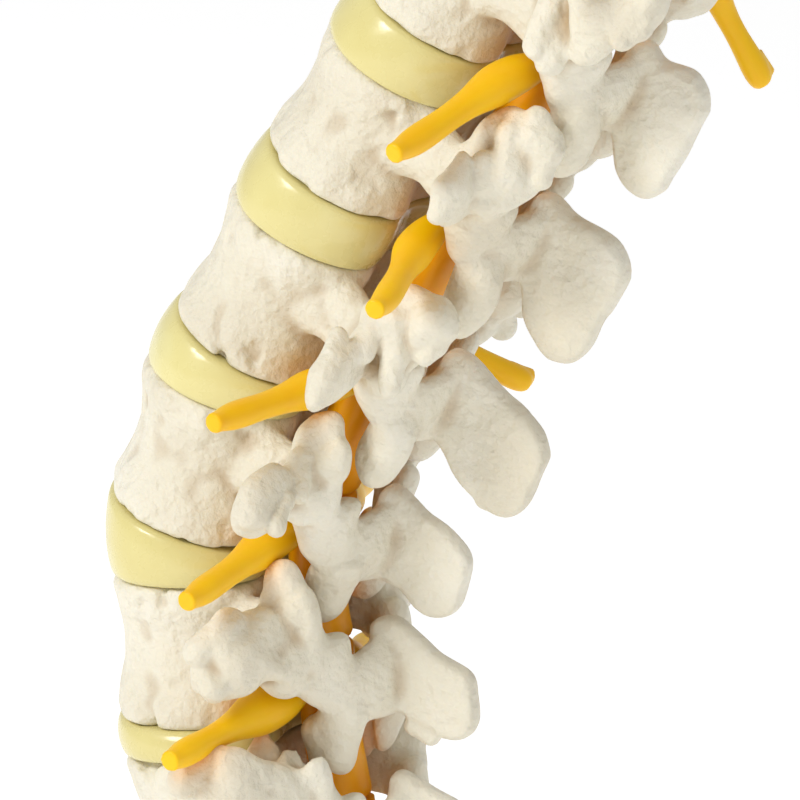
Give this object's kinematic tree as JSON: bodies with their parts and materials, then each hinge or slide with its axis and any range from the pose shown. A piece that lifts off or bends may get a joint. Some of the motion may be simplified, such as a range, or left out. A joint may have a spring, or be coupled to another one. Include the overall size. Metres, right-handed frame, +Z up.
{
  "type": "human skeleton model spine section",
  "caption": "Flexible lower spine section of a human skeleton teaching model, with cast plastic vertebrae, soft discs and yellow nerve stubs strung on a flexible core.",
  "frame": {"origin": "on the axis of the lower ferrule, where it leaves the clamping nut", "axes": "+Z up, the spine faces -Y, +X is the left side of the person"},
  "size_m": [0.0902, 0.1235, 0.2427],
  "materials": {
    "bone_plastic": "satin cast bone",
    "disc_plastic": "soft translucent gloss",
    "cord_plastic": "satin",
    "nerve_plastic": "satin",
    "core_steel": "wound flexible shaft",
    "ferrule_steel": "turned",
    "plated_steel": "bright zinc plate"
  },
  "bodies": {
    "l5": {"vertebra_l5": "bone_plastic", "core_l5": "core_steel", "dura_lower_end": "cord_plastic", "ferrule_lower": "ferrule_steel", "washer_lower": "plated_steel", "nut_lower": "plated_steel", "nerve_left_l5": "nerve_plastic", "nerve_right_l5": "nerve_plastic"},
    "disc_t12_l1": {"disc_t12_l1": "disc_plastic", "dura_t12_l1": "cord_plastic", "nerve_left_t12": "nerve_plastic", "nerve_right_t12": "nerve_plastic"},
    "disc_l1_l2": {"disc_l1_l2": "disc_plastic", "dura_l1_l2": "cord_plastic", "nerve_left_l1": "nerve_plastic", "nerve_right_l1": "nerve_plastic"},
    "disc_l2_l3": {"disc_l2_l3": "disc_plastic", "dura_l2_l3": "cord_plastic", "nerve_left_l2": "nerve_plastic", "nerve_right_l2": "nerve_plastic"},
    "disc_l3_l4": {"disc_l3_l4": "disc_plastic", "dura_l3_l4": "cord_plastic", "nerve_left_l3": "nerve_plastic", "nerve_right_l3": "nerve_plastic"},
    "disc_l4_l5": {"disc_l4_l5": "disc_plastic", "dura_l4_l5": "cord_plastic", "nerve_left_l4": "nerve_plastic", "nerve_right_l4": "nerve_plastic"},
    "l4": {"vertebra_l4": "bone_plastic", "core_l4": "core_steel"},
    "l3": {"vertebra_l3": "bone_plastic", "core_l3": "core_steel"},
    "l2": {"vertebra_l2": "bone_plastic", "core_l2": "core_steel"},
    "l1": {"vertebra_l1": "bone_plastic", "core_l1": "core_steel"},
    "t12": {"vertebra_t12": "bone_plastic", "core_t12": "core_steel", "dura_upper_end": "cord_plastic", "ferrule_upper": "ferrule_steel", "washer_upper": "plated_steel", "nut_upper": "plated_steel", "nerve_left_t11": "nerve_plastic", "nerve_right_t11": "nerve_plastic"}
  },
  "joints": [
    {"name": "l4_l5_flexion", "type": "hinge", "parent": "l5", "child": "disc_l4_l5", "pos_m": [0, -0.00627, 0.03826], "axis": [1, 0, 0], "range_deg": [-4, 6], "deforming": ["disc_l4_l5", "dura_l4_l5", "nerve_left_l4", "nerve_right_l4"]},
    {"name": "l4_l5_side_bend", "type": "hinge", "parent": "disc_l4_l5", "child": "l4", "pos_m": [0, -0.00627, 0.03826], "axis": [0, 0.9945, 0.1045], "range_deg": [-4, 4], "deforming": ["disc_l4_l5", "dura_l4_l5", "nerve_left_l4", "nerve_right_l4"]},
    {"name": "l3_l4_flexion", "type": "hinge", "parent": "l4", "child": "disc_l3_l4", "pos_m": [0, -0.00887, 0.07462], "axis": [1, 0, 0], "range_deg": [-4, 6], "deforming": ["disc_l3_l4", "dura_l3_l4", "nerve_left_l3", "nerve_right_l3"]},
    {"name": "l3_l4_side_bend", "type": "hinge", "parent": "disc_l3_l4", "child": "l3", "pos_m": [0, -0.00887, 0.07462], "axis": [0, 0.9925, -0.1219], "range_deg": [-4, 4], "deforming": ["disc_l3_l4", "dura_l3_l4", "nerve_left_l3", "nerve_right_l3"]},
    {"name": "l2_l3_flexion", "type": "hinge", "parent": "l3", "child": "disc_l2_l3", "pos_m": [0, 0.00114, 0.11094], "axis": [1, 0, 0], "range_deg": [-2, 6], "deforming": ["disc_l2_l3", "dura_l2_l3", "nerve_left_l2", "nerve_right_l2"]},
    {"name": "l2_l3_side_bend", "type": "hinge", "parent": "disc_l2_l3", "child": "l2", "pos_m": [0, 0.00114, 0.11094], "axis": [0, 0.9272, -0.3746], "range_deg": [-3, 3], "deforming": ["disc_l2_l3", "dura_l2_l3", "nerve_left_l2", "nerve_right_l2"]},
    {"name": "l1_l2_flexion", "type": "hinge", "parent": "l2", "child": "disc_l1_l2", "pos_m": [0, 0.01896, 0.14446], "axis": [1, 0, 0], "range_deg": [-4, 6], "deforming": ["disc_l1_l2", "dura_l1_l2", "nerve_left_l1", "nerve_right_l1"]},
    {"name": "l1_l2_side_bend", "type": "hinge", "parent": "disc_l1_l2", "child": "l1", "pos_m": [0, 0.01896, 0.14446], "axis": [0, 0.8829, -0.4695], "range_deg": [-4, 4], "deforming": ["disc_l1_l2", "dura_l1_l2", "nerve_left_l1", "nerve_right_l1"]},
    {"name": "t12_l1_flexion", "type": "hinge", "parent": "l1", "child": "disc_t12_l1", "pos_m": [0, 0.03832, 0.177], "axis": [1, 0, 0], "range_deg": [-2, 6], "deforming": ["disc_t12_l1", "dura_t12_l1", "nerve_left_t12", "nerve_right_t12"]},
    {"name": "t12_l1_side_bend", "type": "hinge", "parent": "disc_t12_l1", "child": "t12", "pos_m": [0, 0.03832, 0.177], "axis": [0, 0.8704, -0.4924], "range_deg": [-3, 3], "deforming": ["disc_t12_l1", "dura_t12_l1", "nerve_left_t12", "nerve_right_t12"]}
  ]
}
